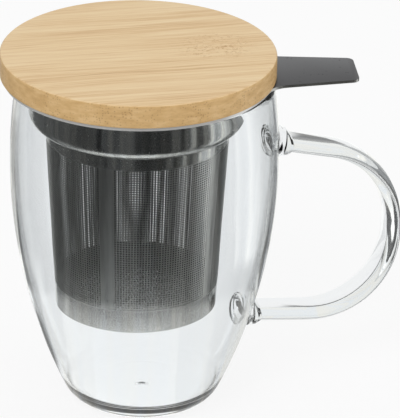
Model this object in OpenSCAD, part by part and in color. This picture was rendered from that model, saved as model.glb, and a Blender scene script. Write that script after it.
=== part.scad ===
// Glass tea mug with a perforated steel infuser and a bamboo lid.
// The origin is the middle of the mug's foot, on the table. +Z is up and the handle points along +X.
// The infuser hangs by its rim plate on the mug's rim, and the lid lies on the rim plate.

/* [Glass mug] */
// Height of the rim above the table
mug_h = 116.6; // [108:0.1:130]
// Diameter at the widest place of the belly
belly_d = 90.2; // [86:0.1:100]
// Height of the widest place of the belly
belly_z = 88; // [75:1:95]
// Radius of the long arc that the side wall follows
side_arc_r = 195; // [180:1:260]
// Thickness of the side wall
wall_t = 1.5; // [1.2:0.1:3]
// Thickness of the floor
floor_t = 4; // [3:0.1:7]
// Radius of the outer corner between wall and foot
foot_corner_r = 10; // [7:0.5:14]
// Radius of the inner corner between wall and floor
well_corner_r = 8; // [5:0.5:12]
// Diameter of the small hollow under the foot, where the glass was cut from the iron
punt_d = 6; // [4:0.5:20]
// Depth of the small hollow under the foot
punt_depth = 0.5; // [0.2:0.1:1.2]

/* [Handle] */
// Width of the glass strap
strap_w = 14.3; // [10:0.1:18]
// Thickness of the strap at its middle
strap_t = 5.3; // [4:0.1:8]
// Height at which the upper run leaves the wall
upper_run_z = 89.3; // [80:0.1:96]
// Slope of the upper run, falling away from the wall
upper_run_slope = 13; // [0:1:20]
// Length of the upper run, from the wall to the upper bend
upper_run_l = 19.8; // [14:0.1:26]
// Radius of the upper bend, at the middle of the strap
upper_bend_r = 30; // [24:0.5:34]
// Length of the straight grip between the bends
grip_l = 3.5; // [0:0.5:12]
// Radius of the lower bend, at the middle of the strap
lower_bend_r = 27.5; // [22:0.5:32]
// Slope of the lower run, rising towards the wall
lower_run_slope = 5.5; // [0:0.5:12]
// Width of the bead of glass that melts the strap onto the wall
gather_w = 17.8; // [14:0.1:22]
// Thickness of the bead at the wall
gather_t = 10.2; // [7:0.1:14]
// How far the bead stands out from the wall
gather_l = 5; // [3:0.5:9]

/* [Infuser rim and collar] */
// How far the hanging infuser sits off the mug's axis, away from the handle
seat_offset = 2.5; // [0:0.1:3]
// Turn of the thumb tab from the handle, seen from above
tab_turn = -9.5; // [-30:0.5:30]
// How far the rim plate would reach past the glass rim if both were on one axis
plate_overhang = 1.9; // [1:0.1:4]
// Thickness of the rim plate and its tab
plate_t = 1; // [0.6:0.1:1.6]
// Length of the thumb tab beyond the rim plate
tab_l = 28; // [18:0.5:40]
// Width of the tab where it leaves the plate
tab_root_w = 25.6; // [18:0.1:32]
// Width of the tab at its tip
tab_tip_w = 18.6; // [12:0.1:24]
// Radius of the two corners at the tab's tip
tab_corner_r = 2.5; // [1:0.1:5]
// Radius of the fillets between tab and plate
tab_fillet_r = 9; // [4:0.5:14]
// Radial gap between the mouth of the glass and the drawn collar, if both were on one axis
collar_gap = 5.4; // [5.2:0.1:8]
// Depth of the collar below the rim plate
collar_h = 15.6; // [10:0.1:20]
// Radius of the collar's rounded lower edge, outside
collar_edge_r = 5; // [2:0.1:6]
// Width of the collar's flat lip that is welded under the rim plate
collar_lip_w = 1.8; // [1.2:0.1:2]
// Thickness of the steel sheet of collar and basket
sheet_t = 0.5; // [0.4:0.05:0.8]

/* [Basket] */
// Width of the flat shoulder between the collar's rounded edge and the basket
shoulder_w = 0.3; // [0.2:0.1:4]
// Slope of the basket's wall, which narrows towards the bottom
basket_draft = 3.2; // [1:0.1:5]
// Height of the basket's underside above the table
basket_bottom_z = 36; // [28:0.5:60]
// Plain band above the holes
band_top_h = 5.4; // [3:0.1:12]
// Plain band below the holes
band_bottom_h = 8; // [4:0.1:14]
// Diameter of a hole
hole_d = 2.3; // [1.6:0.1:2.6]
// Spacing of the holes down the wall and across the floor
hole_pitch = 5; // [4.6:0.1:7]
// Angle of one perforated panel round the wall
panel_angle = 69; // [50:1:80]
// Angle of the plain strip between two panels
strip_angle = 9; // [5:1:14]
// Columns of holes in a full panel
panel_columns = 7; // [5:1:7]
// Turn of the first strip from the handle, seen from above
strip_turn = 79; // [-180:1:180]
// Plain margin round the holes in the floor
floor_margin = 5; // [3:0.5:10]

/* [Lid] */
// How far the bamboo board reaches past the rim plate
lid_overhang = 1; // [0:0.1:3]
// Thickness of the board
lid_t = 8; // [6:0.1:12]
// Rounding of the board's upper edge
lid_edge_r = 0.9; // [0.4:0.1:2.5]
// Chamfer on the board's lower edge
lid_chamfer = 0.6; // [0.3:0.1:1.5]
// Depth of the turned plug under the board
plug_h = 8; // [6:0.1:9]
// Width of the seal's groove in the plug
groove_w = 3; // [2:0.1:4]
// Depth of the seal's groove
groove_depth = 1.4; // [0.8:0.1:2]
// Depth of the groove's upper side below the board
groove_drop = 2.6; // [1.5:0.1:3]

/* [Fits] */
// Gap between the rounded glass rim and the rim plate
seat_gap = 0.2; // [0.1:0.05:0.4]
// Gap between the rim plate and the lid
lid_gap = 0.2; // [0.1:0.05:0.4]
// Radial gap between the lid's seal and the collar
seal_gap = 0.3; // [0.2:0.05:0.6]
// Radial gap between the lid's plug and the collar
plug_gap = 1; // [0.7:0.05:1.6]

/* [Hidden] */
$fn = 96;
eps = 0.01;

// The side wall's arc turns round this point of the mug's section.
arc_x = belly_d / 2 - side_arc_r;
lip_r = wall_t / 2;
// Middle of the rounded rim, on the middle of the wall
lip_z = mug_h - lip_r;
lip_x = arc_x + sqrt(pow(side_arc_r - lip_r, 2) - pow(lip_z - belly_z, 2));
lip_angle = atan2(lip_z - belly_z, lip_x - arc_x);
mouth_r = lip_x - lip_r;
// Middle of the outer corner, which touches the wall's arc and the table
foot_x = arc_x + sqrt(pow(side_arc_r - foot_corner_r, 2) - pow(belly_z - foot_corner_r, 2));
foot_angle = atan2(foot_corner_r - belly_z, foot_x - arc_x);
// Middle of the inner corner, which touches the inner wall and the floor
well_z = floor_t + well_corner_r;
well_x = arc_x + sqrt(pow(side_arc_r - wall_t - well_corner_r, 2) - pow(belly_z - well_z, 2));
well_angle = atan2(well_z - belly_z, well_x - arc_x);

// Radii of the pieces that hang in the mouth and lie on it
plate_r = lip_x + lip_r + plate_overhang;
lid_r = plate_r + lid_overhang;
collar_r = mouth_r - collar_gap;
collar_inner_r = collar_r - sheet_t;
plug_r = collar_inner_r - plug_gap;
basket_top_r = collar_r - collar_edge_r - shoulder_w;

// Heights of the stack on the rim
plate_z = mug_h + seat_gap;
plate_top = plate_z + plate_t;
lid_z = plate_top + lid_gap;
shoulder_z = plate_z - collar_h;
basket_h = shoulder_z + sheet_t - basket_bottom_z;
basket_bottom_r = basket_top_r - basket_h * tan(basket_draft);

// Points of an arc round [cx, cy] from angle a to angle b, in n steps
function arc(cx, cy, r, a, b, n) =
    [for (i = [0 : n]) let (t = a + (b - a) * i / n) [cx + r * cos(t), cy + r * sin(t)]];

// Outer section of the mug, from the foot up the wall
function outer_wall(top_angle) = concat(
    arc(foot_x, foot_corner_r, foot_corner_r, -90, foot_angle, 8),
    arc(arc_x, belly_z, side_arc_r, foot_angle, top_angle, 28));

// Inner section of the mug, from the rim down to the floor
function inner_wall() = concat(
    arc(arc_x, belly_z, side_arc_r - wall_t, lip_angle, well_angle, 28),
    arc(well_x, well_z, well_corner_r, well_angle, -90, 8));

module glass() { color([0.86, 0.90, 0.91, 0.35]) children(); }
module steel() { color([0.62, 0.63, 0.63]) children(); }

module mug_body() {
    punt_r = punt_d / 2;
    punt = [for (i = [0 : 6]) let (x = punt_r * i / 6) [x, punt_depth * (1 + cos(180 * x / punt_r)) / 2]];
    lip = arc(lip_x, lip_z, lip_r, lip_angle, lip_angle + 180, 10);
    glass() rotate_extrude()
        polygon(concat(punt, outer_wall(lip_angle), lip, inner_wall(), [[0, floor_t]]));
}

// The mug's outer form as one solid, which the handle's feet are cut to
module mug_envelope() {
    rotate_extrude() polygon(concat([[0, 0]], outer_wall(lip_angle), [[0, lip_z]]));
}

// The handle's centre line in the XZ plane, as [x, z, heading], marched from the wall out and back.
sink = 6;
wall_x = arc_x + sqrt(pow(side_arc_r, 2) - pow(upper_run_z - belly_z, 2));
start = [wall_x - sink * cos(upper_run_slope), upper_run_z + sink * sin(upper_run_slope)];
bend1 = start + (upper_run_l + sink) * [cos(upper_run_slope), -sin(upper_run_slope)];
bend1_c = bend1 - upper_bend_r * [sin(upper_run_slope), cos(upper_run_slope)];
grip_top = bend1_c + [upper_bend_r, 0];
bend2_c = grip_top + [-lower_bend_r, -grip_l];
bend2_end = bend2_c - lower_bend_r * [sin(lower_run_slope), cos(lower_run_slope)];
// Where the lower run meets the wall, close enough for the bead to start there
low_z = bend2_end[1] + (bend2_end[0] - belly_d * 0.39) * tan(lower_run_slope);
low_x = arc_x + sqrt(pow(side_arc_r, 2) - pow(low_z - belly_z, 2));
lower_run_l = (bend2_end[0] - low_x) / cos(lower_run_slope);

function run(p, q, heading, steps) = [for (t = steps) [each (p + (q - p) * t), heading]];
function bend(c, r, from, to, n) =
    [for (i = [1 : n]) let (h = from + (to - from) * i / n) [c[0] - r * sin(h), c[1] + r * cos(h), h]];
upper_total = upper_run_l + sink;
lower_total = lower_run_l + sink;
low_end = bend2_end + lower_total * [-cos(lower_run_slope), sin(lower_run_slope)];
// The bead's rings lie closer together where it rounds over.
route = concat(
    run(start, bend1, -upper_run_slope,
        concat([0], [for (a = [0 : 15 : 90]) (sink + gather_l * sin(a)) / upper_total], [1])),
    bend(bend1_c, upper_bend_r, -upper_run_slope, -90, 12),
    grip_l > 0 ? [[grip_top[0], grip_top[1] - grip_l, -90]] : [],
    bend(bend2_c, lower_bend_r, -90, -180 - lower_run_slope, 14),
    run(bend2_end, low_end, -180 - lower_run_slope,
        concat([for (a = [90 : -15 : 0]) (lower_run_l - gather_l * sin(a)) / lower_total], [1])));

// 1 at the wall, 0 where the bead has rounded over into the strap, at a distance out along the run
function bead(out) = sqrt(1 - pow(max(0, min(1, out / gather_l)), 2));
function lerp(a, b, t) = a + (b - a) * t;

// Oval ring of the strap round one point of the route
function strap_ring(p, n) =
    let (upper = p[1] > belly_z / 2,
         f = bead(upper ? (p[0] - wall_x) / cos(upper_run_slope) : (p[0] - low_x) / cos(lower_run_slope)),
         w = lerp(strap_w, gather_w, f) / 2,
         t = lerp(strap_t, gather_t, f) / 2,
         up = [-sin(p[2]), cos(p[2])])
    [for (i = [0 : n - 1]) let (a = 360 * i / n)
        [p[0] + t * sin(a) * up[0], -w * cos(a), p[1] + t * sin(a) * up[1]]];

module mug_handle() {
    sides = 24;
    rings = [for (p = route) each strap_ring(p, sides)];
    count = len(route);
    skin = [for (k = [0 : count - 2]) for (i = [0 : sides - 1])
        let (a = k * sides + i, b = k * sides + (i + 1) % sides)
        each [[a, b, b + sides], [a, b + sides, a + sides]]];
    ends = [[for (i = [0 : sides - 1]) sides - 1 - i],
            [for (i = [0 : sides - 1]) (count - 1) * sides + i]];
    glass() difference() {
        polyhedron(rings, concat(skin, ends));
        mug_envelope();
    }
}

module at_infuser() { translate([-seat_offset, 0, 0]) children(); }

// One side of the tab is a straight line from its root to its tip. A fillet joins it to the plate and
// starts a little inside the plate's edge, so that the two outlines cross.
tab_root_x = plate_r;
tab_reach = tab_root_x + tab_l;
fillet_r0 = tab_root_x - 0.2;
tab_side = atan2((tab_root_w - tab_tip_w) / 2, tab_reach - tab_root_x);
side_normal = [sin(tab_side), cos(tab_side)];
side_along = [cos(tab_side), -sin(tab_side)];
side_d = side_normal * [tab_root_x, tab_root_w / 2];
fillet_c = (side_d + tab_fillet_r) * side_normal + side_along
    * sqrt(pow(fillet_r0 + tab_fillet_r, 2) - pow(side_d + tab_fillet_r, 2));
fillet_foot = fillet_c * fillet_r0 / (fillet_r0 + tab_fillet_r);
fillet_end = fillet_c - tab_fillet_r * side_normal;
tip_c = [tab_reach - tab_corner_r, (side_d - tab_corner_r
    - side_normal[0] * (tab_reach - tab_corner_r)) / side_normal[1]];

function mirrored(points) = [for (i = [len(points) - 1 : -1 : 0]) [points[i][0], -points[i][1]]];

module tab_outline() {
    tip = arc(tip_c[0], tip_c[1], tab_corner_r, 90 - tab_side, 0, 6);
    fillet = arc(fillet_c[0], fillet_c[1], tab_fillet_r,
        atan2(-fillet_c[1], -fillet_c[0]), -90 - tab_side, 8);
    side = concat([[0, fillet_foot[1]]], fillet, tip);
    polygon(concat(side, mirrored(side)));
}

module rim_plate() {
    steel() at_infuser() translate([0, 0, plate_z]) difference() {
        union() {
            cylinder(r = plate_r, h = plate_t);
            rotate(tab_turn) linear_extrude(plate_t) tab_outline();
        }
        translate([0, 0, -eps]) cylinder(r = collar_inner_r, h = plate_t + 2 * eps);
    }
}

// Radius of the basket's outer face at a height
function basket_r(z) = lerp(basket_bottom_r, basket_top_r, (z - basket_bottom_z) / basket_h);

module collar_section() {
    r = collar_r;
    edge = arc(r - collar_edge_r, shoulder_z + collar_edge_r, collar_edge_r, 0, -90, 8);
    inner_edge = arc(r - collar_edge_r, shoulder_z + collar_edge_r,
        collar_edge_r - sheet_t, -90, 0, 8);
    polygon(concat(
        [[r - sheet_t, plate_z], [r + collar_lip_w, plate_z], [r + collar_lip_w, plate_z - sheet_t],
         [r, plate_z - sheet_t]],
        edge,
        [[basket_r(shoulder_z), shoulder_z], [basket_r(shoulder_z + sheet_t), shoulder_z + sheet_t]],
        inner_edge));
}

module infuser_collar() { steel() at_infuser() rotate_extrude() collar_section(); }

// The holes are in panels with a plain strip between them. The last panel, before the sheet's seam,
// is narrower.
column_angle = panel_angle / panel_columns;
panel_pitch = panel_angle + strip_angle;
panels = floor(360 / panel_pitch);
rest_angle = 360 - panels * panel_pitch - strip_angle;
rest_columns = max(0, floor(rest_angle / column_angle));
holes_z0 = basket_bottom_z + band_bottom_h;
holes_h = basket_h - band_bottom_h - band_top_h;
hole_rows = floor(holes_h / hole_pitch);
row_step = holes_h / hole_rows;
function panel_holes(first, columns) = [for (c = [0 : 1 : columns - 1]) first + column_angle * (c + 0.5)];
hole_angles = concat(
    [for (p = [0 : panels - 1]) each panel_holes(strip_angle / 2 + p * panel_pitch, panel_columns)],
    panel_holes(strip_angle / 2 + panels * panel_pitch, rest_columns));

module basket_wall() {
    steel() at_infuser() rotate(strip_turn) difference() {
        translate([0, 0, basket_bottom_z])
            cylinder(r1 = basket_bottom_r, r2 = basket_top_r, h = basket_h);
        translate([0, 0, basket_bottom_z])
            cylinder(r1 = basket_bottom_r - sheet_t, r2 = basket_top_r - sheet_t, h = basket_h);
        for (a = hole_angles, k = [0 : hole_rows - 1])
            let (z = holes_z0 + row_step * (k + 0.5), r = basket_r(z))
            rotate(a) translate([r - 2 * sheet_t, 0, z]) rotate([0, 90, 0])
                cylinder(d = hole_d, h = 3 * sheet_t, $fn = 16);
    }
}

module basket_floor() {
    r1 = basket_r(basket_bottom_z) - sheet_t;
    r2 = basket_r(basket_bottom_z + sheet_t) - sheet_t;
    n = floor((r1 - floor_margin) / hole_pitch);
    steel() at_infuser() difference() {
        translate([0, 0, basket_bottom_z]) cylinder(r1 = r1, r2 = r2, h = sheet_t);
        for (i = [-n : n], j = [-n : n])
            if (norm([i, j]) * hole_pitch < r1 - floor_margin)
                translate([i * hole_pitch, j * hole_pitch, basket_bottom_z - sheet_t])
                    cylinder(d = hole_d, h = 3 * sheet_t, $fn = 16);
    }
}

module bamboo_lid() {
    r = lid_r;
    groove_top = -groove_drop;
    groove_low = -groove_drop - groove_w;
    groove_r = plug_r - groove_depth;
    color([0.87, 0.72, 0.50]) at_infuser() translate([0, 0, lid_z]) rotate_extrude()
        polygon(concat(
            [[0, lid_t]],
            arc(r - lid_edge_r, lid_t - lid_edge_r, lid_edge_r, 90, 0, 5),
            [[r, lid_chamfer], [r - lid_chamfer, 0], [plug_r, 0],
             [plug_r, groove_top], [groove_r, groove_top], [groove_r, groove_low], [plug_r, groove_low],
             [plug_r, lid_chamfer - plug_h], [plug_r - lid_chamfer, -plug_h], [0, -plug_h]]));
}

module lid_seal() {
    groove_r = plug_r - groove_depth;
    bead_r = collar_inner_r - seal_gap;
    mid_z = -groove_drop - groove_w / 2;
    color([0.93, 0.93, 0.92, 0.8]) at_infuser() translate([0, 0, lid_z]) rotate_extrude()
        polygon(concat(
            [[groove_r, mid_z - groove_w / 2]],
            [for (i = [-6 : 6]) let (a = 15 * i)
                [plug_r + (bead_r - plug_r) * cos(a), mid_z + groove_w / 2 * sin(a)]],
            [[groove_r, mid_z + groove_w / 2]]));
}

mug_body();
mug_handle();
rim_plate();
infuser_collar();
basket_wall();
basket_floor();
bamboo_lid();
lid_seal();
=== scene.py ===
from math import atan2, cos, degrees, pi, radians, sin, sqrt, tan

import bmesh
import bpy
from mathutils import Matrix, Vector


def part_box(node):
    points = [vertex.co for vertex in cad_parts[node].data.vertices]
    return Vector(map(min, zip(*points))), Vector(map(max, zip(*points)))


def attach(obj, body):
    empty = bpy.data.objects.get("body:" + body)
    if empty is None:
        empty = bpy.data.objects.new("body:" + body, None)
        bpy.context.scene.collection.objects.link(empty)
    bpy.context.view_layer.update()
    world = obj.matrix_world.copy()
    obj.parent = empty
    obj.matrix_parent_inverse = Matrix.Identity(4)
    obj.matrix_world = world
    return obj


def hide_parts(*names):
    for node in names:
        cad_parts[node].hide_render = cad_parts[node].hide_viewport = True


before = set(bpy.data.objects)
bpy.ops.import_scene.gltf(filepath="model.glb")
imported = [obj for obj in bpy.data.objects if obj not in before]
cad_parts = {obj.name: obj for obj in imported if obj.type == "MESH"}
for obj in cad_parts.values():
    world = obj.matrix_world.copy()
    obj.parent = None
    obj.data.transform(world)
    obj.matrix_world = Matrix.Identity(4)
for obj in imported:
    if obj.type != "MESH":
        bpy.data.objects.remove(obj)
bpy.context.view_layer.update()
mm = 0.001
print("stage 1: frame loaded")


# small helpers that work as one does with the mouse
def deselectAll():
    if bpy.context.object and bpy.context.object.mode != "OBJECT":
        bpy.ops.object.mode_set(mode="OBJECT")
    bpy.ops.object.select_all(action="DESELECT")


def grab(piece):
    deselectAll()
    piece.select_set(True)
    bpy.context.view_layer.objects.active = piece


def openMesh(piece):
    grab(piece)
    bpy.ops.object.transform_apply(location=True, rotation=True, scale=True)
    bpy.ops.object.mode_set(mode="EDIT")
    bpy.ops.mesh.select_all(action="DESELECT")


def pick(piece, kind, test):  # selects the vertices, edges or faces that pass the test
    bpy.ops.mesh.select_mode(type=kind)
    bpy.ops.mesh.select_all(action="DESELECT")
    mesh = bmesh.from_edit_mesh(piece.data)
    parts = {"VERT": mesh.verts, "EDGE": mesh.edges, "FACE": mesh.faces}[kind]
    for part in parts:
        if test(part):
            part.select_set(True)
    mesh.select_flush_mode()
    bmesh.update_edit_mesh(piece.data)


def middle(part):  # the middle of an edge or face
    return sum((v.co for v in part.verts), Vector()) / len(part.verts)


def closeMesh(piece, smooth=None):
    bpy.ops.object.mode_set(mode="OBJECT")
    grab(piece)
    bpy.ops.object.transform_apply(location=True, rotation=True, scale=True)
    if smooth:
        bpy.ops.object.shade_smooth_by_angle(angle=radians(smooth))


def newPiece(name):
    piece = bpy.context.object
    piece.name = name
    piece.data.name = name
    return piece


def applyModifier(piece, kind, **settings):
    grab(piece)
    modifier = piece.modifiers.new(kind.title(), kind)
    for setting, value in settings.items():
        setattr(modifier, setting, value)
    bpy.ops.object.modifier_apply(modifier=modifier.name)


def arcPoints(x, z, r, start, end, count):  # an arc of a section, angles in degrees
    turns = [radians(start + (end - start) * i / count) for i in range(count + 1)]
    return [(x + r * cos(t), z + r * sin(t)) for t in turns]


def drawLine(name, points):  # one vertex, extruded from point to point
    deselectAll()
    bpy.ops.mesh.primitive_plane_add(size=mm, location=points[0])
    piece = newPiece(name)
    openMesh(piece)
    bpy.ops.mesh.select_mode(type="VERT")
    bpy.ops.mesh.select_all(action="SELECT")
    bpy.ops.mesh.merge(type="CENTER")
    bpy.ops.mesh.select_all(action="SELECT")
    for before, after in zip(points, points[1:]):
        step = tuple(b - a for a, b in zip(before, after))
        bpy.ops.mesh.extrude_region_move(TRANSFORM_OT_translate={"value": step})
    return piece


def turned(name, section, axisX=0.0, steps=192, smooth=30):  # lathe work: (radius, height) round an axis
    piece = drawLine(name, [(axisX + x, 0, z) for x, z in section])
    bpy.ops.mesh.select_all(action="SELECT")
    bpy.ops.mesh.spin(steps=steps, angle=2 * pi, center=(axisX, 0, 0), axis=(0, 0, 1))
    bpy.ops.mesh.select_all(action="SELECT")
    bpy.ops.mesh.remove_doubles(threshold=0.002 * mm)
    bpy.ops.mesh.normals_make_consistent(inside=False)
    closeMesh(piece, smooth)
    return piece


def wear(piece, body, slot, material, *replaced):  # what every finished piece gets
    piece.data.materials.clear()
    piece.data.materials.append(material)
    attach(piece, body)
    if replaced:
        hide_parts(*replaced)


# a wire is a node's output that Python's operators work on
class Wire:
    def __init__(self, shader, socket):
        self.shader = shader
        self.socket = socket

    def maths(self, operation, *values):
        return self.shader.node("Math", dict(operation=operation), list(values))

    def __add__(self, other):
        return self.maths("ADD", self, other)

    __radd__ = __add__

    def __sub__(self, other):
        return self.maths("SUBTRACT", self, other)

    def __rsub__(self, other):
        return self.maths("SUBTRACT", other, self)

    def __mul__(self, other):
        return self.maths("MULTIPLY", self, other)

    __rmul__ = __mul__

    def __truediv__(self, other):
        return self.maths("DIVIDE", self, other)

    def __rtruediv__(self, other):
        return self.maths("DIVIDE", other, self)

    def __pow__(self, other):
        return self.maths("POWER", self, other)

    def __gt__(self, other):
        return self.maths("GREATER_THAN", self, other)

    def __lt__(self, other):
        return self.maths("LESS_THAN", self, other)

    def most(self, other):
        return self.maths("MAXIMUM", self, other)

    def size(self):  # without its sign
        return self.maths("ABSOLUTE", self)

    def step(self, low, high):  # 0 below low, 1 above high, smooth between
        settings = dict(interpolation_type="SMOOTHSTEP")
        return self.shader.node("MapRange", settings, {0: self, 1: low, 2: high})

    def between(self, rise, fall):  # rises over the first pair of numbers, falls over the second
        return self.step(*rise) * (1.0 - self.step(*fall))


class Shader:
    def __init__(self, owner):
        owner.use_nodes = True
        self.tree = owner.node_tree
        self.tree.nodes.clear()

    def node(self, kind, settings=None, values=None, output=0):
        made = self.tree.nodes.new("ShaderNode" + kind)
        for setting, value in (settings or {}).items():
            if setting == "stops":
                self.setStops(made.color_ramp, value)
            elif setting == "ramp":
                made.color_ramp.interpolation = value
            else:
                setattr(made, setting, value)
        pairs = values.items() if isinstance(values, dict) else enumerate(values or [])
        for place, value in pairs:
            if isinstance(value, Wire):
                self.tree.links.new(value.socket, made.inputs[place])
            elif value is not None:
                made.inputs[place].default_value = value
        return Wire(self, made.outputs[output] if made.outputs else None)

    def setStops(self, ramp, stops):
        while len(ramp.elements) < len(stops):
            ramp.elements.new(0.5)
        for element, (place, colour) in zip(ramp.elements, stops):
            element.position = place
            grey = isinstance(colour, (int, float))
            element.color = (colour, colour, colour, 1) if grey else (*colour, 1)

    def ramp(self, factor, stops, kind="LINEAR"):
        return self.node("ValToRGB", dict(stops=stops, ramp=kind), [factor])

    def blend(self, factor, first, second, kind="MIX"):
        colours = [(*c, 1) if isinstance(c, tuple) else c for c in (first, second)]
        settings = dict(data_type="RGBA", blend_type=kind)
        return self.node("Mix", settings, {0: factor, 6: colours[0], 7: colours[1]}, output=2)

    def vector(self, x, y, z):
        return self.node("CombineXYZ", None, [x, y, z])

    def parts(self, vector):
        made = self.node("SeparateXYZ", None, [vector])
        return [Wire(self, output) for output in made.socket.node.outputs]

    def noise(self, vector, scale, detail=2.0, roughness=0.5, distortion=0.0):
        values = {"Vector": vector, "Scale": scale, "Detail": detail, "Roughness": roughness,
                  "Distortion": distortion}
        return self.node("TexNoise", None, values)

    def place(self, turn=0.0):  # object coordinates in millimetres, turned about the upright axis
        where = self.node("TexCoord", output=3)
        settings = dict(vector_type="TEXTURE")
        return self.node("Mapping", settings, {0: where, 2: (0, 0, radians(turn)), 3: (mm, mm, mm)})

    def bump(self, height, distance, strength=1.0):
        return self.node("Bump", None, {"Strength": strength, "Distance": distance * mm, "Height": height})

    def surface(self, values):
        bsdf = self.node("BsdfPrincipled", None, values)
        self.node("OutputMaterial", None, {"Surface": bsdf})


def newMaterial(name):
    material = bpy.data.materials.new(name)
    return material, Shader(material)


def glassMaterial(look):
    material, s = newMaterial("clearGlass")
    spot = s.place()
    wave = s.noise(spot, look["waveScale"], 1.0)
    smear = s.noise(spot, look["smearScale"], 3.0)
    tone = s.blend(smear, look["tint"], look["tintThick"])
    s.surface({"Base Color": tone, "Roughness": smear.step(0.62, 0.8) * look["smearRoughness"],
               "IOR": look["ior"], "Transmission Weight": 1.0,
               "Normal": s.bump(wave, look["waveDepth"])})
    return material


def steelMaterial(name, look):
    material, s = newMaterial(name)
    spot = s.place()
    x, y, z = s.parts(spot)
    faceX, faceY, faceZ = s.parts(s.node("TexCoord", output=1))
    around = s.vector(x * look["streakAcross"], y * look["streakAcross"], z * look["streakAlong"])
    streak = s.noise(around, 1.0, 3.0, 0.6)
    cloud = s.noise(spot, look["cloudScale"], 2.0)
    tone = s.blend(streak.step(0.3, 0.7) * 0.7 + cloud * 0.3, look["dark"], look["light"])
    top = faceZ.step(*look["topFaces"])
    # painted shade: faces that look up take a dark tone, which stands in for the dark reflection on the tab's
    # top
    tone = s.blend(top * look["paintedDarkTop"], tone, look["paintedDarkTopTone"])
    # painted shade: the inner side of the sheet and faces that look up are painted darker, as shade inside the
    # basket
    outX = x - look["axisX"]
    inward = 1.0 - (faceX * outX + faceY * y).step(-1.0, 0.5)
    tone = s.blend(inward.most(top) * look["paintedShadeInside"], tone, look["paintedShadeInsideTone"])
    # punching the holes leaves the sheet satin, the plain bands above and below stay bright
    low, high = look["punched"]
    punched = z.between((low, low + 1.5), (high - 1.5, high))
    speck = s.noise(spot, look["speckScale"], 0.0).step(look["speckFrom"], look["speckFrom"] + 0.02)
    rough = look["rough"] + streak * look["roughStreak"] + speck * look["speckRough"]
    rough = rough + punched * look["punchedRough"]
    metal = 1.0
    if look["paintedHighlightReach"]:  # painted highlight: the edge of the rim plate is painted light and less metallic, the tab is left out of it
        reach = (outX ** 2.0 + y * y) ** 0.5
        paintedHighlight = (1.0 - faceZ.size().step(0.5, 0.9)) * (1.0 - reach.step(*look["paintedHighlightReach"]))
        tone = s.blend(paintedHighlight, tone, look["paintedHighlightTone"])
        metal = 1.0 - paintedHighlight * look["paintedHighlightMatt"]
    s.surface({"Base Color": tone, "Metallic": metal, "Roughness": rough,
               "Anisotropic": look["drawn"], "Anisotropic Rotation": 0.25,
               "Normal": s.bump(streak, look["streakDepth"])})
    return material


def bambooMaterial(look):
    material, s = newMaterial("bambooBoard")
    along, across, z = s.parts(s.place(look["grainTurn"]))
    drift = s.noise(s.vector(along * 0.02, across * 0.06, 0.0), 1.0, 1.0)
    line = across + drift * look["grainDrift"]

    def grain(pitch, detail, roughness):  # noise drawn out along the fibres
        stretched = s.vector(along * pitch[0], line * pitch[1], z * pitch[2])
        return s.noise(stretched, 1.0, detail, roughness)
    fibre = grain(look["fibrePitch"], 4.0, 0.62)
    band = grain(look["bandPitch"], 2.0, 0.55)
    fine = grain(look["finePitch"], 2.0, 0.6)
    tone = s.ramp(fibre * 0.50 + band * 0.32 + fine * 0.18, look["topTones"])
    # the node of the stem shows as short torn fibres and brown specks round one place
    nodeX, nodeY = look["nodeAt"]
    reachX = (along - nodeX) / look["nodeLength"]
    reachY = (across - nodeY) / look["nodeWidth"]
    nodeMask = 1.0 - ((reachX ** 2.0 + reachY ** 2.0) ** 0.5).step(0.35, 1.0)
    torn = s.noise(s.vector(along * 0.55, across * 0.9, z), 1.0, 3.0, 0.7, 1.2)
    specks = torn.step(0.55, 0.63) * nodeMask
    tone = s.blend(specks * 0.8, tone, look["speckTone"])
    halo = s.noise(s.vector(along * 0.22, across * 0.5, z), 1.0, 2.0).step(0.45, 0.65) * nodeMask
    tone = s.blend(halo * 0.25, tone, look["nodeTone"])
    # the rim shows cut fibres as dots
    upright = s.parts(s.node("TexCoord", output=1))[2]
    rim = 1.0 - upright.size().step(0.55, 0.8)
    angle = across.maths("ARCTAN2", across, along)
    rimTone = s.ramp(s.noise(s.vector(angle * 9.0, z * 0.55, band), 1.0, 3.0, 0.6), look["rimTones"])
    dotAt = s.vector(angle * look["dotsAround"], z * look["dotsUp"], 0.0)
    dotCell = s.node("TexVoronoi", dict(feature="F1"), {0: dotAt, "Scale": 1.0, "Randomness": 0.55})
    dotPatch = s.noise(s.vector(angle * 2.3, z * 0.12, 4.0), 1.0, 1.0).step(0.36, 0.6)
    dots = (1.0 - dotCell.step(0.16, 0.40)) * dotPatch
    rimTone = s.blend(dots * look["dotAmount"], rimTone, look["dotTone"])
    tone = s.blend(rim, tone, rimTone)
    rough = look["rough"] + fibre * 0.12 + rim * 0.08
    s.surface({"Base Color": tone, "Roughness": rough, "Coat Weight": look["oil"],
               "Normal": s.bump(fibre * 0.6 + fine * 0.4 + dots * rim, look["grainDepth"])})
    return material


def siliconeMaterial(look):
    material, s = newMaterial("milkySilicone")
    dust = s.noise(s.place(), 0.6, 3.0)
    tone = s.blend(dust, look["light"], look["dark"])
    s.surface({"Base Color": tone, "Roughness": look["rough"] + dust * 0.15, "Subsurface Weight": 0.25,
               "Subsurface Radius": (look["milk"],) * 3, "Normal": s.bump(dust, 0.03)})
    return material


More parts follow.
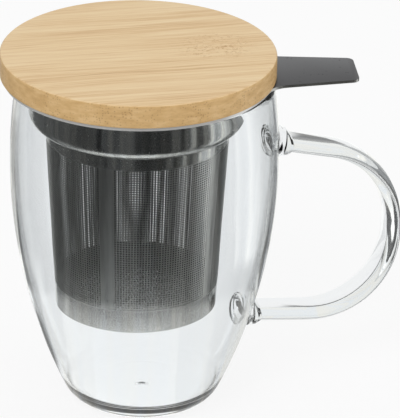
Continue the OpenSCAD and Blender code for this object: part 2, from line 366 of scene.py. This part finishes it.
glassLook = {
    "tint": (0.955, 0.968, 0.975), "tintThick": (0.935, 0.955, 0.965), "ior": 1.47,
    "waveScale": 0.035, "waveDepth": 0.35, "smearScale": 0.05, "smearRoughness": 0.02,
}
steelLook = {
    "axisX": -2.5, "dark": (0.36, 0.36, 0.35), "light": (0.52, 0.52, 0.50),
    "rough": 0.14, "roughStreak": 0.03, "drawn": 0.85,
    "streakAcross": 0.55, "streakAlong": 0.012, "streakDepth": 0.01, "cloudScale": 0.06,
    "speckScale": 1.2, "speckFrom": 0.80, "speckRough": 0.3,
    "topFaces": (0.7, 0.9), "paintedDarkTop": 0.0, "paintedDarkTopTone": (0.09, 0.088, 0.092),
    "paintedShadeInside": 0.9, "paintedShadeInsideTone": (0.13, 0.13, 0.125), "punched": (43.0, 97.5), "punchedRough": 0.14,
    "paintedHighlightReach": None, "paintedHighlightTone": (0.70, 0.70, 0.69), "paintedHighlightMatt": 0.6,
}
tabLook = dict(steelLook, rough=0.28, drawn=0.2, paintedDarkTop=1.0, paintedShadeInside=0.0, paintedHighlightReach=(45.2, 45.8),
               streakAcross=0.12, streakAlong=0.12)
bambooLook = {
    "grainTurn": -3.0, "grainDrift": 2.2, "grainDepth": 0.05, "rough": 0.42, "oil": 0.06,
    "fibrePitch": (0.030, 1.15, 1.15), "bandPitch": (0.012, 0.22, 0.25), "finePitch": (0.12, 4.5, 4.5),
    "topTones": [(0.30, (0.56, 0.345, 0.155)), (0.42, (0.72, 0.485, 0.245)), (0.52, (0.82, 0.60, 0.335)),
                 (0.64, (0.87, 0.68, 0.42))],
    "nodeAt": (24.0, 0.0), "nodeLength": 17.0, "nodeWidth": 14.0,
    "speckTone": (0.50, 0.27, 0.10), "nodeTone": (0.66, 0.40, 0.17),
    "rimTones": [(0.32, (0.58, 0.36, 0.145)), (0.5, (0.65, 0.42, 0.18)), (0.68, (0.72, 0.49, 0.235))],
    "dotTone": (0.36, 0.20, 0.07), "dotAmount": 0.6, "dotsAround": 50.0, "dotsUp": 1.15,
}
siliconeLook = {"light": (0.88, 0.88, 0.87), "dark": (0.80, 0.80, 0.79), "rough": 0.45, "milk": 2 * mm}

clearGlass = glassMaterial(glassLook)
basketSteel = steelMaterial("drawnSteel", steelLook)
tabSteel = steelMaterial("tabSteel", tabLook)
bambooBoard = bambooMaterial(bambooLook)
milkySilicone = siliconeMaterial(siliconeLook)
print("stage 2: materials ready")


# the glass mug is a blown body with a pulled strap melted on
mug = {
    "bellyRadius": 45.1 * mm, "bellyZ": 88 * mm, "sideArc": 195 * mm, "wall": 1.5 * mm, "floor": 4 * mm,
    "footCorner": 10 * mm, "wellCorner": 8 * mm, "puntRadius": 3 * mm, "puntDepth": 0.5 * mm,
    "steps": 224,
}
mug["rimZ"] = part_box("mug_body")[1].z


def arcCentreX():
    return mug["bellyRadius"] - mug["sideArc"]


def sideX(z, inset=0.0):  # radius of the side wall at a height
    return arcCentreX() + sqrt((mug["sideArc"] - inset) ** 2 - (z - mug["bellyZ"]) ** 2)


def mugSection():
    arcX = arcCentreX()
    lip = mug["wall"] / 2
    lipZ = mug["rimZ"] - lip
    lipAngle = degrees(atan2(lipZ - mug["bellyZ"], sideX(lipZ, lip) - arcX))
    footR, wellR = mug["footCorner"], mug["wellCorner"]
    footX = sideX(footR, footR)
    footAngle = degrees(atan2(footR - mug["bellyZ"], footX - arcX))
    wellZ = mug["floor"] + wellR
    wellX = sideX(wellZ, mug["wall"] + wellR)
    wellAngle = degrees(atan2(wellZ - mug["bellyZ"], wellX - arcX))
    punt = [(mug["puntRadius"] * i / 10, mug["puntDepth"] * (1 + cos(pi * i / 10)) / 2) for i in range(11)]
    outer = arcPoints(footX, footR, footR, -90, footAngle, 14)
    outer += arcPoints(arcX, mug["bellyZ"], mug["sideArc"], footAngle, lipAngle, 44)[1:]
    rim = arcPoints(sideX(lipZ, lip), lipZ, lip, lipAngle, lipAngle + 180, 10)[1:]
    inner = arcPoints(arcX, mug["bellyZ"], mug["sideArc"] - mug["wall"], lipAngle, wellAngle, 44)[1:]
    inner += arcPoints(wellX, wellZ, wellR, wellAngle, -90, 14)[1:]
    floor = [(wellX * (1 - i / 8), mug["floor"]) for i in range(1, 9)]
    return punt + outer + rim + inner + floor


strap = {
    "width": 14.3 * mm, "thick": 5.3 * mm, "topZ": 89.3 * mm, "topSlope": 13, "topRun": 19.8 * mm,
    "topBend": 30 * mm, "grip": 3.5 * mm, "lowBend": 27.5 * mm, "lowSlope": 5.5,
    "beadWidth": 14.8 * mm, "beadThick": 10.2 * mm, "beadRun": 5 * mm, "beadFold": 0.16 * mm, "sunk": 1.25 * mm,
    "lowEndZ": 30 * mm, "sides": 48, "topBendSteps": 16, "lowBendSteps": 18,
}


def strapRing(run):  # half width and half thickness of the strap at a distance from the wall
    out = min(max(run, 0.0) / strap["beadRun"], 1.0)
    f = sqrt(1 - out ** 2)
    fold = strap["beadFold"] * sin(out * 11) * f
    return ((strap["width"] + (strap["beadWidth"] - strap["width"]) * f) / 2 + fold,
            (strap["thick"] + (strap["beadThick"] - strap["thick"]) * f) / 2 + fold)


# distances from the wall for the bead's rings, closer together where it rounds over
beadRuns = [-strap["sunk"]] + [strap["beadRun"] * sin(radians(4.5 * i)) for i in range(21)]


def extrudeRun(heading, runs, around):  # extrudes the open ring straight on, in steps
    side = (cos(heading), 0, sin(heading))
    place = Vector(around)
    for before, after in zip(runs, runs[1:]):
        length = abs(after - before)
        step = tuple(length * c for c in side)
        bpy.ops.mesh.extrude_region_move(TRANSFORM_OT_translate={"value": step})
        place += Vector(step)
        (w0, t0), (w1, t1) = strapRing(before), strapRing(after)
        bpy.ops.transform.resize(value=(t1 / t0, w1 / w0, t1 / t0), center_override=tuple(place))
    return place


def buildStrap():
    topSlope, lowSlope = radians(strap["topSlope"]), radians(strap["lowSlope"])
    wallX = sideX(strap["topZ"])
    start = Vector((wallX, 0, strap["topZ"]))
    outward = Vector((cos(topSlope), 0, -sin(topSlope)))
    begin = start - outward * strap["sunk"]
    bpy.ops.mesh.primitive_circle_add(vertices=strap["sides"], radius=1, fill_type="NOTHING")
    piece = newPiece("strap")
    width, thick = strapRing(-strap["sunk"])
    piece.scale = (thick, width, 1)
    piece.rotation_euler = (0, radians(90) + topSlope, 0)
    piece.location = begin
    openMesh(piece)
    bpy.ops.mesh.select_all(action="SELECT")
    place = extrudeRun(-topSlope, beadRuns + [strap["topRun"] * 0.6, strap["topRun"]], begin)
    bend = place - strap["topBend"] * Vector((sin(topSlope), 0, cos(topSlope)))
    spinRing(bend, radians(90) - topSlope, strap["topBendSteps"])
    down = {"value": (0, 0, -strap["grip"])}
    bpy.ops.mesh.extrude_region_move(TRANSFORM_OT_translate=down)
    place = bend + Vector((strap["topBend"], 0, -strap["grip"]))
    bend = place - Vector((strap["lowBend"], 0, 0))
    spinRing(bend, radians(90) + lowSlope, strap["lowBendSteps"])
    place = bend - strap["lowBend"] * Vector((sin(lowSlope), 0, cos(lowSlope)))
    wallZ = place.z + (place.x - sideX(strap["lowEndZ"])) * tan(lowSlope)
    lowRun = (place.x - sideX(wallZ)) / cos(lowSlope)
    heading = pi - lowSlope
    extrudeRun(heading, [lowRun, lowRun * 0.6] + beadRuns[::-1], place)
    pick(piece, "EDGE", lambda edge: len(edge.link_faces) == 1)
    bpy.ops.mesh.edge_face_add()
    bpy.ops.mesh.select_all(action="SELECT")
    bpy.ops.mesh.normals_make_consistent(inside=False)
    closeMesh(piece)
    return piece


def spinRing(centre, angle, steps):
    bpy.ops.mesh.spin(steps=steps, angle=angle, center=tuple(centre), axis=(0, -1, 0))


def buildMug():
    body = turned("mugGlass", mugSection(), steps=mug["steps"], smooth=None)
    handle = buildStrap()
    grab(body)
    applyModifier(body, "BOOLEAN", operation="UNION", object=handle, solver="EXACT")
    bpy.data.objects.remove(handle)
    grab(body)
    bpy.ops.object.shade_smooth_by_angle(angle=radians(38))
    wear(body, "mug", "glass", clearGlass, "mug_body", "mug_handle")


buildMug()
print("stage 3: glass mug modelled")


# the infuser has a rim plate with a tab, a collar and a perforated basket
hang = {"axisX": -2.5 * mm, "plateZ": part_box("rim_plate")[0].z, "plateTop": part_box("rim_plate")[1].z}

plate = {
    "radius": 45 * mm, "hole": 35.7 * mm, "tabTurn": -9.5, "tabReach": 73 * mm, "rootWidth": 25.6 * mm,
    "tipWidth": 18.6 * mm, "tipCorner": 2.5 * mm, "fillet": 9 * mm, "edge": 0.42 * mm, "turns": 150,
    "holeSides": 160,
}


def tabSide():  # one side of the tab from the plate's edge to the middle of the tip, as (along, across)
    reach, tipR, fillet = plate["tabReach"], plate["tipCorner"], plate["fillet"]
    slope = atan2((plate["rootWidth"] - plate["tipWidth"]) / 2, reach - plate["radius"])
    normal = Vector((sin(slope), cos(slope)))
    offset = normal.dot(Vector((plate["radius"], plate["rootWidth"] / 2)))
    far = plate["radius"] + fillet
    back = sqrt(far ** 2 - (offset + fillet) ** 2)
    centre = (offset + fillet) * normal + Vector((normal.y, -normal.x)) * back
    start = degrees(atan2(-centre.y, -centre.x))
    rise = degrees(slope)
    tipX = reach - tipR
    tipY = (offset - tipR - normal.x * tipX) / normal.y
    points = arcPoints(centre.x, centre.y, fillet, start, -90 - rise, 12)
    points += arcPoints(tipX, tipY, tipR, 90 - rise, 0, 8)
    return points


def buildPlate():
    side = tabSide()
    gap = atan2(side[0][1], side[0][0])
    turns = plate["turns"]
    rest = [(plate["radius"] * cos(gap + (2 * pi - 2 * gap) * i / turns),
             plate["radius"] * sin(gap + (2 * pi - 2 * gap) * i / turns)) for i in range(1, turns)]
    outline = side[::-1] + rest + [(x, -y) for x, y in side]
    piece = drawLine("rimPlate", [(x, y, 0) for x, y in outline])
    pick(piece, "VERT", lambda v: len(v.link_edges) == 1)
    bpy.ops.mesh.edge_face_add()
    bpy.ops.mesh.primitive_circle_add(vertices=plate["holeSides"], radius=plate["hole"], fill_type="NOTHING")
    bpy.ops.mesh.select_all(action="SELECT")
    bpy.ops.mesh.fill()
    pick(piece, "FACE", lambda f: middle(f).xy.length < plate["hole"] * 0.99)
    bpy.ops.mesh.delete(type="FACE")
    bpy.ops.mesh.select_all(action="SELECT")
    bpy.ops.mesh.normals_make_consistent(inside=False)
    closeMesh(piece)
    piece.rotation_euler = (0, 0, radians(plate["tabTurn"]))
    piece.location = (hang["axisX"], 0, hang["plateZ"])
    bpy.ops.object.transform_apply(location=True, rotation=True, scale=True)
    thickness = hang["plateTop"] - hang["plateZ"]
    applyModifier(piece, "SOLIDIFY", thickness=thickness, offset=1)
    openMesh(piece)
    bpy.ops.mesh.select_all(action="SELECT")
    bpy.ops.mesh.normals_make_consistent(inside=False)
    bpy.ops.object.mode_set(mode="OBJECT")
    lowest = min(v.co.z for v in piece.data.vertices)
    piece.location = (0, 0, hang["plateZ"] - lowest)
    bpy.ops.object.transform_apply(location=True, rotation=True, scale=True)
    applyModifier(piece, "BEVEL", width=plate["edge"], segments=4, limit_method="ANGLE",
                  angle_limit=radians(50))
    grab(piece)
    bpy.ops.object.shade_smooth_by_angle(angle=radians(40))
    wear(piece, "infuser", "steel", tabSteel, "rim_plate")


collar = {"radius": 36.2 * mm, "lip": 1.8 * mm, "edge": 5 * mm, "sheet": 0.5 * mm, "steps": 208}
basket = {
    "topRadius": 30.9 * mm, "bottomRadius": 27.2 * mm, "bottomZ": 36 * mm, "sheet": 0.16 * mm,
    "columns": 194, "rows": 62, "bandTop": 5.4 * mm, "bandBottom": 8 * mm, "hole": 0.56,
    "strips": [94, 165, -125, -47, 25], "stripHalf": 4.5, "floorPitch": 1.3 * mm, "floorHole": 0.36,
    "floorMargin": 4 * mm, "floorSides": 96, "floorLift": 0.02 * mm, "frontFrom": -125, "frontSpan": 156,
}
basket["shoulderZ"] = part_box("infuser_collar")[0].z
basket["topZ"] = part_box("basket_wall")[1].z


def buildCollar():
    r, edge, sheet = collar["radius"], collar["edge"], collar["sheet"]
    top, low = hang["plateZ"], basket["shoulderZ"]
    section = [(r - sheet, top), (r + collar["lip"], top), (r + collar["lip"], top - sheet)]
    section += arcPoints(r + sheet * 0.6, top - sheet * 1.6, sheet * 0.6, 90, 180, 4)
    section += arcPoints(r - edge, low + edge, edge, 0, -90, 14)
    section += [(basketRadius(low), low), (basketRadius(low), low + sheet)]
    section += arcPoints(r - edge, low + edge, edge - sheet, -90, 0, 14)
    piece = turned("infuserCollar", section + section[:1], hang["axisX"], steps=collar["steps"], smooth=50)
    wear(piece, "infuser", "steel", basketSteel, "infuser_collar")


def basketRadius(z):
    part = (z - basket["bottomZ"]) / (basket["topZ"] - basket["bottomZ"])
    return basket["bottomRadius"] + (basket["topRadius"] - basket["bottomRadius"]) * part


def towards(point):  # angle of a point round the infuser's axis, in degrees
    return degrees(atan2(point.y, point.x - hang["axisX"]))


def apart(a, b):
    return abs((a - b + 180) % 360 - 180)


def buildBasketWall():
    axis = (hang["axisX"], 0, 0)
    low, high = basket["bottomZ"], basket["topZ"]
    deselectAll()
    bpy.ops.mesh.primitive_circle_add(vertices=basket["columns"], radius=basketRadius(low),
                                      fill_type="NOTHING", location=(hang["axisX"], 0, low))
    piece = newPiece("basketWall")
    openMesh(piece)
    bpy.ops.mesh.select_all(action="SELECT")
    levels = [low, low + basket["bandBottom"], high - basket["bandTop"], high]
    for below, above in zip(levels, levels[1:]):
        bpy.ops.mesh.extrude_region_move(TRANSFORM_OT_translate={"value": (0, 0, above - below)})
        swell = basketRadius(above) / basketRadius(below)
        bpy.ops.transform.resize(value=(swell, swell, 1), center_override=axis)

    def inPerforation(part):
        return levels[1] < middle(part).z + 1e-6 and middle(part).z - 1e-6 < levels[2]

    def upright(edge):
        return abs(edge.verts[0].co.z - edge.verts[1].co.z) > 20 * mm
    pick(piece, "EDGE", upright)
    bpy.ops.mesh.subdivide(number_cuts=basket["rows"] - 1)

    def inPanel(face):
        strip = min(apart(towards(middle(face)), a) for a in basket["strips"])
        return inPerforation(face) and strip > basket["stripHalf"]
    pick(piece, "FACE", inPanel)
    cell = (levels[2] - levels[1]) / basket["rows"]
    bpy.ops.mesh.inset(thickness=cell * (1 - basket["hole"]) / 2, use_individual=True)
    bpy.ops.mesh.delete(type="FACE")
    bpy.ops.mesh.select_all(action="SELECT")
    bpy.ops.mesh.normals_make_consistent(inside=False)
    pick(piece, "FACE", lambda f: (towards(middle(f)) - basket["frontFrom"]) % 360 < basket["frontSpan"])
    bpy.ops.mesh.separate(type="SELECTED")
    bpy.ops.object.mode_set(mode="OBJECT")
    halves = [piece] + [o for o in bpy.context.selected_objects if o != piece]
    for half, name in zip(halves, ["basketWallRear", "basketWallFront"]):
        half.name = name
        half.data.name = name
        applyModifier(half, "SOLIDIFY", thickness=basket["sheet"], offset=-1)
        grab(half)
        bpy.ops.object.shade_smooth_by_angle(angle=radians(30))
        wear(half, "infuser", "steel", basketSteel, "basket_wall")


def buildBasketFloor():
    pitch = basket["floorPitch"]
    radius = basketRadius(basket["bottomZ"]) - basket["sheet"]
    count = 2 * int(radius / pitch) + 4
    deselectAll()
    bpy.ops.mesh.primitive_grid_add(x_subdivisions=count, y_subdivisions=count, size=count * pitch,
                                    location=(0, 0, 0))
    piece = newPiece("basketFloor")
    openMesh(piece)
    pick(piece, "FACE", lambda f: middle(f).xy.length < radius - basket["floorMargin"])
    bpy.ops.mesh.inset(thickness=pitch * (1 - basket["floorHole"]) / 2, use_individual=True)
    bpy.ops.mesh.delete(type="FACE")
    pick(piece, "FACE", lambda f: middle(f).xy.length > radius + 1.5 * pitch)
    bpy.ops.mesh.delete(type="FACE")
    for i in range(basket["floorSides"]):
        turn = 2 * pi * i / basket["floorSides"]
        normal = (cos(turn), sin(turn), 0)
        bpy.ops.mesh.select_all(action="SELECT")
        bpy.ops.mesh.bisect(plane_co=tuple(radius * c for c in normal), plane_no=normal, clear_outer=True)
    bpy.ops.mesh.select_all(action="SELECT")
    bpy.ops.mesh.normals_make_consistent(inside=False)
    closeMesh(piece)
    piece.location = (hang["axisX"], 0, basket["bottomZ"] + basket["floorLift"])
    bpy.ops.object.transform_apply(location=True, rotation=True, scale=True)
    applyModifier(piece, "SOLIDIFY", thickness=basket["sheet"], offset=1)
    grab(piece)
    bpy.ops.object.shade_smooth_by_angle(angle=radians(30))
    wear(piece, "infuser", "steel", basketSteel, "basket_floor")


buildPlate()
buildCollar()
buildBasketWall()
buildBasketFloor()
print("stage 4: infuser modelled")


# the lid is a bamboo board with a turned plug and a silicone ring
lid = {
    "radius": 46 * mm, "thick": 8 * mm, "edge": 0.9 * mm, "chamfer": 0.6 * mm, "plug": 34.7 * mm,
    "plugDepth": 8 * mm, "groove": 3 * mm, "grooveDepth": 1.4 * mm, "grooveDrop": 2.6 * mm,
    "seal": 35.4 * mm, "steps": 224, "sealSteps": 192,
}
lid["z"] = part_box("bamboo_lid")[1].z - lid["thick"]


def buildLid():
    r, z, edge, chamfer = lid["radius"], lid["z"], lid["edge"], lid["chamfer"]
    plug, depth = lid["plug"], lid["plugDepth"]
    top = z + lid["thick"]
    grooveTop = z - lid["grooveDrop"]
    grooveLow = grooveTop - lid["groove"]
    core = plug - lid["grooveDepth"]
    section = [(r * i / 6, top) for i in range(6)]
    section += arcPoints(r - edge, top - edge, edge, 90, 0, 8)
    section += arcPoints(r - chamfer, z + chamfer, chamfer, 0, -90, 5)
    section += [(plug, z), (plug, grooveTop), (core, grooveTop), (core, grooveLow), (plug, grooveLow)]
    section += arcPoints(plug - chamfer, z - depth + chamfer, chamfer, 0, -90, 5)
    section += [(0, z - depth)]
    board = turned("bambooLid", section, hang["axisX"], steps=lid["steps"], smooth=35)
    wear(board, "lid", "bamboo", bambooBoard, "bamboo_lid")
    middleZ = grooveTop - lid["groove"] / 2
    half = lid["groove"] / 2
    ring = [(core, middleZ - half)]
    for i in range(-8, 9):
        t = radians(90 * i / 8)
        ring.append((plug + (lid["seal"] - plug) * cos(t), middleZ + half * sin(t)))
    ring += [(core, middleZ + half), (core, middleZ - half)]
    seal = turned("lidSeal", ring, hang["axisX"], steps=lid["sealSteps"], smooth=40)
    wear(seal, "lid", "silicone", milkySilicone, "lid_seal")


buildLid()
print("stage 5: lid modelled")


# a pale table, a white surround and soft lamps
camera = {
    "distance": 1.5, "elevation": 24.95, "heading": 75.0, "aim": (-2.5 * mm, 0, 60 * mm),
    "focal": 4449.0, "roll": -0.67, "imageWidth": 400, "imageHeight": 418, "aimPixel": (136.4, 232.2),
}
studio = {
    "tableSize": 8.0, "tableZ": -0.05 * mm, "tableTone": (0.86, 0.86, 0.865), "tableGrain": (0.84, 0.84, 0.85),
    "grainScale": 90.0, "worldDiffuse": 0.62, "tableWhite": 0.88,
    "streakCount": 9.0, "nearEdge": (104 * mm, 130 * mm), "innerEdge": (82 * mm, 94 * mm),
    "skyTop": (0.55, 0.85), "skyTopTone": (0.55, 0.55, 0.56),
    "coolTone": (0.95, 0.98, 1.0), "warmTone": (1.0, 0.99, 0.94),
    "keyPower": 9.0, "keySize": 0.9, "keyAt": (-0.75, -0.9, 1.25),
    "fillPower": 4.0, "fillSize": 1.2, "fillAt": (1.3, -0.5, 0.9), "lampAim": (0, 0, 0.06),
}
# painted shadow: a dark patch on the table, seen only through the handle, that stands in for shade; where it
# starts and ends to the right, and how it leans backwards
strapShadow = {
    "from": (48 * mm, 56 * mm), "to": (100 * mm, 130 * mm), "start": (88 * mm, 106 * mm),
    "leanFrom": 60 * mm, "lean": 3.5, "dark": 0.05, "far": (140 * mm, 190 * mm), "farLight": 0.14,
}
# painted shade: a dark patch on the table right behind the mug, which only mirrored rays meet
mirroredShade = {
    "from": (-42 * mm, -28 * mm), "to": (11 * mm, 19 * mm), "start": (24 * mm, 36 * mm),
    "end": (205 * mm, 225 * mm), "tone": (0.11, 0.11, 0.11),
}
# what stands round the mug as polished steel and bent glass mirror it: (bearing in degrees, brightness)
farCards = [
    (-180, 0.12), (-168, 0.09), (-146, 0.04), (-141, 0.14), (-109, 0.05), (-92, 0.06), (-73, 0.15),
    (-63, 0.04), (-58, 0.14), (-52, 0.50), (-45, 0.12), (-36, 0.30), (-28, 1.15), (-16, 1.45),
    (-4, 0.95), (2, 0.55), (7, 0.14), (30, 0.35), (42, 0.8), (53, 1.1), (97, 0.75), (105, 0.6),
    (118, 0.16), (159, 0.14),
]
nearCards = [
    (-180, 0.17), (-157, 0.09), (-136, 0.13), (-110, 0.07), (-96, 0.3), (-94, 0.07), (-61, 0.18),
    (-6, 0.12), (20, 0.22), (32, 0.65), (45, 0.9), (97, 1.2), (117, 0.25), (150, 0.6), (160, 0.20),
]
innerCards = [(-180, 1.3), (-150, 1.6), (-75, 1.1), (-42, 0.8), (97, 1.2), (125, 0.5), (148, 0.95)]
skyCards = [
    (-180, 0.12), (-141, 0.14), (-92, 0.08), (-52, 0.3), (-30, 0.55), (28, 0.4), (45, 0.9),
    (118, 0.8), (140, 0.14),
]


def cards(s, turn, stops):
    return s.ramp(turn, [(bearing / 360 + 0.5, glow) for bearing, glow in stops], "CONSTANT")


def studioGlow(s, x, y, z, flat):  # flat is the distance over the table, or None for the sky
    turn = x.maths("ARCTAN2", y, x) / (2 * pi) + 0.5
    streak = s.noise(s.vector(x * studio["streakCount"], y * studio["streakCount"], 0.0), 1.0, 2.0, 0.6)
    tint = s.blend(streak.step(0.4, 0.6), studio["coolTone"], studio["warmTone"])
    if flat is None:
        glow = cards(s, turn, skyCards)
        glow = s.blend(z.step(*studio["skyTop"]), glow, studio["skyTopTone"])
    else:
        glow = cards(s, turn, farCards) * (streak.step(0.3, 0.7) * 0.6 + 0.7)
        glow = s.blend(flat.step(*studio["nearEdge"]), cards(s, turn, nearCards), glow)
        glow = s.blend(flat.step(*studio["innerEdge"]), cards(s, turn, innerCards), glow)
    return s.blend(1.0, glow, tint, "MULTIPLY")


def lightPath(s):
    rays = s.node("LightPath")
    outputs = rays.socket.node.outputs
    wire = {o.name: Wire(s, o) for o in outputs}
    mirrored = wire["Glossy Depth"] > 0.5
    seen = wire["Is Camera Ray"].most(wire["Is Transmission Ray"])
    return wire, seen, mirrored


def buildWorld():
    world = bpy.data.worlds.new("studioWorld")
    bpy.context.scene.world = world
    s = Shader(world)
    x, y, z = s.parts(s.node("TexCoord", output=0))
    flatLength = (x * x + y * y) ** 0.5 + 0.0001
    glow = studioGlow(s, x / flatLength, y / flatLength, z, None)
    wire, seen, mirrored = lightPath(s)
    shown = s.blend(mirrored, (1.0, 1.0, 1.0), glow)
    looked = seen.most(wire["Is Glossy Ray"])
    level = studio["worldDiffuse"]
    colour = s.blend(looked, (level, level, level), shown)
    sky = s.node("Background", None, {"Color": colour, "Strength": 1.0})
    s.node("OutputWorld", None, {"Surface": sky})


def buildTable():
    deselectAll()
    bpy.ops.mesh.primitive_plane_add(size=studio["tableSize"], location=(0, 0, studio["tableZ"]))
    table = newPiece("table")
    material, s = newMaterial("paleTable")
    x, y, z = s.parts(s.node("TexCoord", output=3))
    flat = (x * x + y * y) ** 0.5
    glow = studioGlow(s, x / (flat + 0.001), y / (flat + 0.001), z, flat)
    wire, seen, mirrored = lightPath(s)
    away = radians(camera["heading"])
    right = x * sin(away) - y * cos(away)
    forward = x * cos(away) + y * sin(away)
    # the painted shadow shows only through the strap, not through both walls of the mug
    strapShadowMask = right.between(strapShadow["from"], strapShadow["to"])
    strapShadowMask = strapShadowMask * (forward - (right - strapShadow["leanFrom"]) * strapShadow["lean"]).step(*strapShadow["start"])
    strapOnly = wire["Is Transmission Ray"] * (wire["Transmission Depth"] < 2.5)
    depth = strapShadow["dark"] + forward.step(*strapShadow["far"]) * strapShadow["farLight"]
    clear = s.blend(strapShadowMask * strapOnly, (1.0, 1.0, 1.0), s.vector(depth, depth, depth))
    shade = right.between(mirroredShade["from"], mirroredShade["to"]) * forward.between(mirroredShade["start"], mirroredShade["end"])
    glow = s.blend(shade, glow, mirroredShade["tone"])
    grain = s.noise(s.vector(x, y, z), studio["grainScale"], 2.0)
    matt = s.node("BsdfDiffuse", None, {"Color": s.blend(grain, studio["tableTone"], studio["tableGrain"])})
    shown = s.blend(mirrored, clear, glow)
    light = s.node("Emission", None, {"Color": shown, "Strength": 1.0})
    amount = (seen * studio["tableWhite"]).most(mirrored) * (1.0 - wire["Is Diffuse Ray"])
    mixed = s.node("MixShader", None, {0: amount, 1: matt, 2: light})
    s.node("OutputMaterial", None, {"Surface": mixed})
    table.data.materials.append(material)


def softLamp(name, power, size, at):
    lamp = bpy.data.lights.new(name, "AREA")
    lamp.energy = power
    lamp.shape = "DISK"
    lamp.size = size
    holder = bpy.data.objects.new(name, lamp)
    bpy.context.scene.collection.objects.link(holder)
    holder.location = at
    aim = Vector(studio["lampAim"]) - Vector(at)
    holder.rotation_euler = aim.to_track_quat("-Z", "Y").to_euler()
    holder.visible_glossy = False
    holder.visible_transmission = False
    holder.visible_camera = False


def buildCamera():
    rise, heading, roll = (radians(camera[k]) for k in ("elevation", "heading", "roll"))
    forward = Vector((cos(heading) * cos(rise), sin(heading) * cos(rise), -sin(rise)))
    right = Vector((sin(heading), -cos(heading), 0))
    up = right.cross(forward)
    imageX = right * cos(roll) - up * sin(roll)
    imageY = right * sin(roll) + up * cos(roll)
    turn = Matrix((imageX, imageY, -forward)).transposed()
    offX = camera["imageWidth"] / 2 - camera["aimPixel"][0]
    offY = camera["aimPixel"][1] - camera["imageHeight"] / 2
    aim = (forward * camera["focal"] + imageX * offX + imageY * offY).normalized()
    turn = forward.rotation_difference(aim).to_matrix() @ turn
    lens = bpy.data.cameras.new("photoCamera")
    lens.sensor_fit = "HORIZONTAL"
    lens.sensor_width = 36.0
    lens.lens = camera["focal"] / camera["imageWidth"] * lens.sensor_width
    lens.clip_end = 50
    holder = bpy.data.objects.new("photoCamera", lens)
    bpy.context.scene.collection.objects.link(holder)
    place = Vector(camera["aim"]) - forward * camera["distance"]
    holder.matrix_world = Matrix.Translation(place) @ turn.to_4x4()
    bpy.context.scene.camera = holder


buildWorld()
buildTable()
softLamp("keyLamp", studio["keyPower"], studio["keySize"], studio["keyAt"])
softLamp("fillLamp", studio["fillPower"], studio["fillSize"], studio["fillAt"])
buildCamera()
bpy.context.scene.view_settings.view_transform = "Standard"
print("stage 6: studio ready")
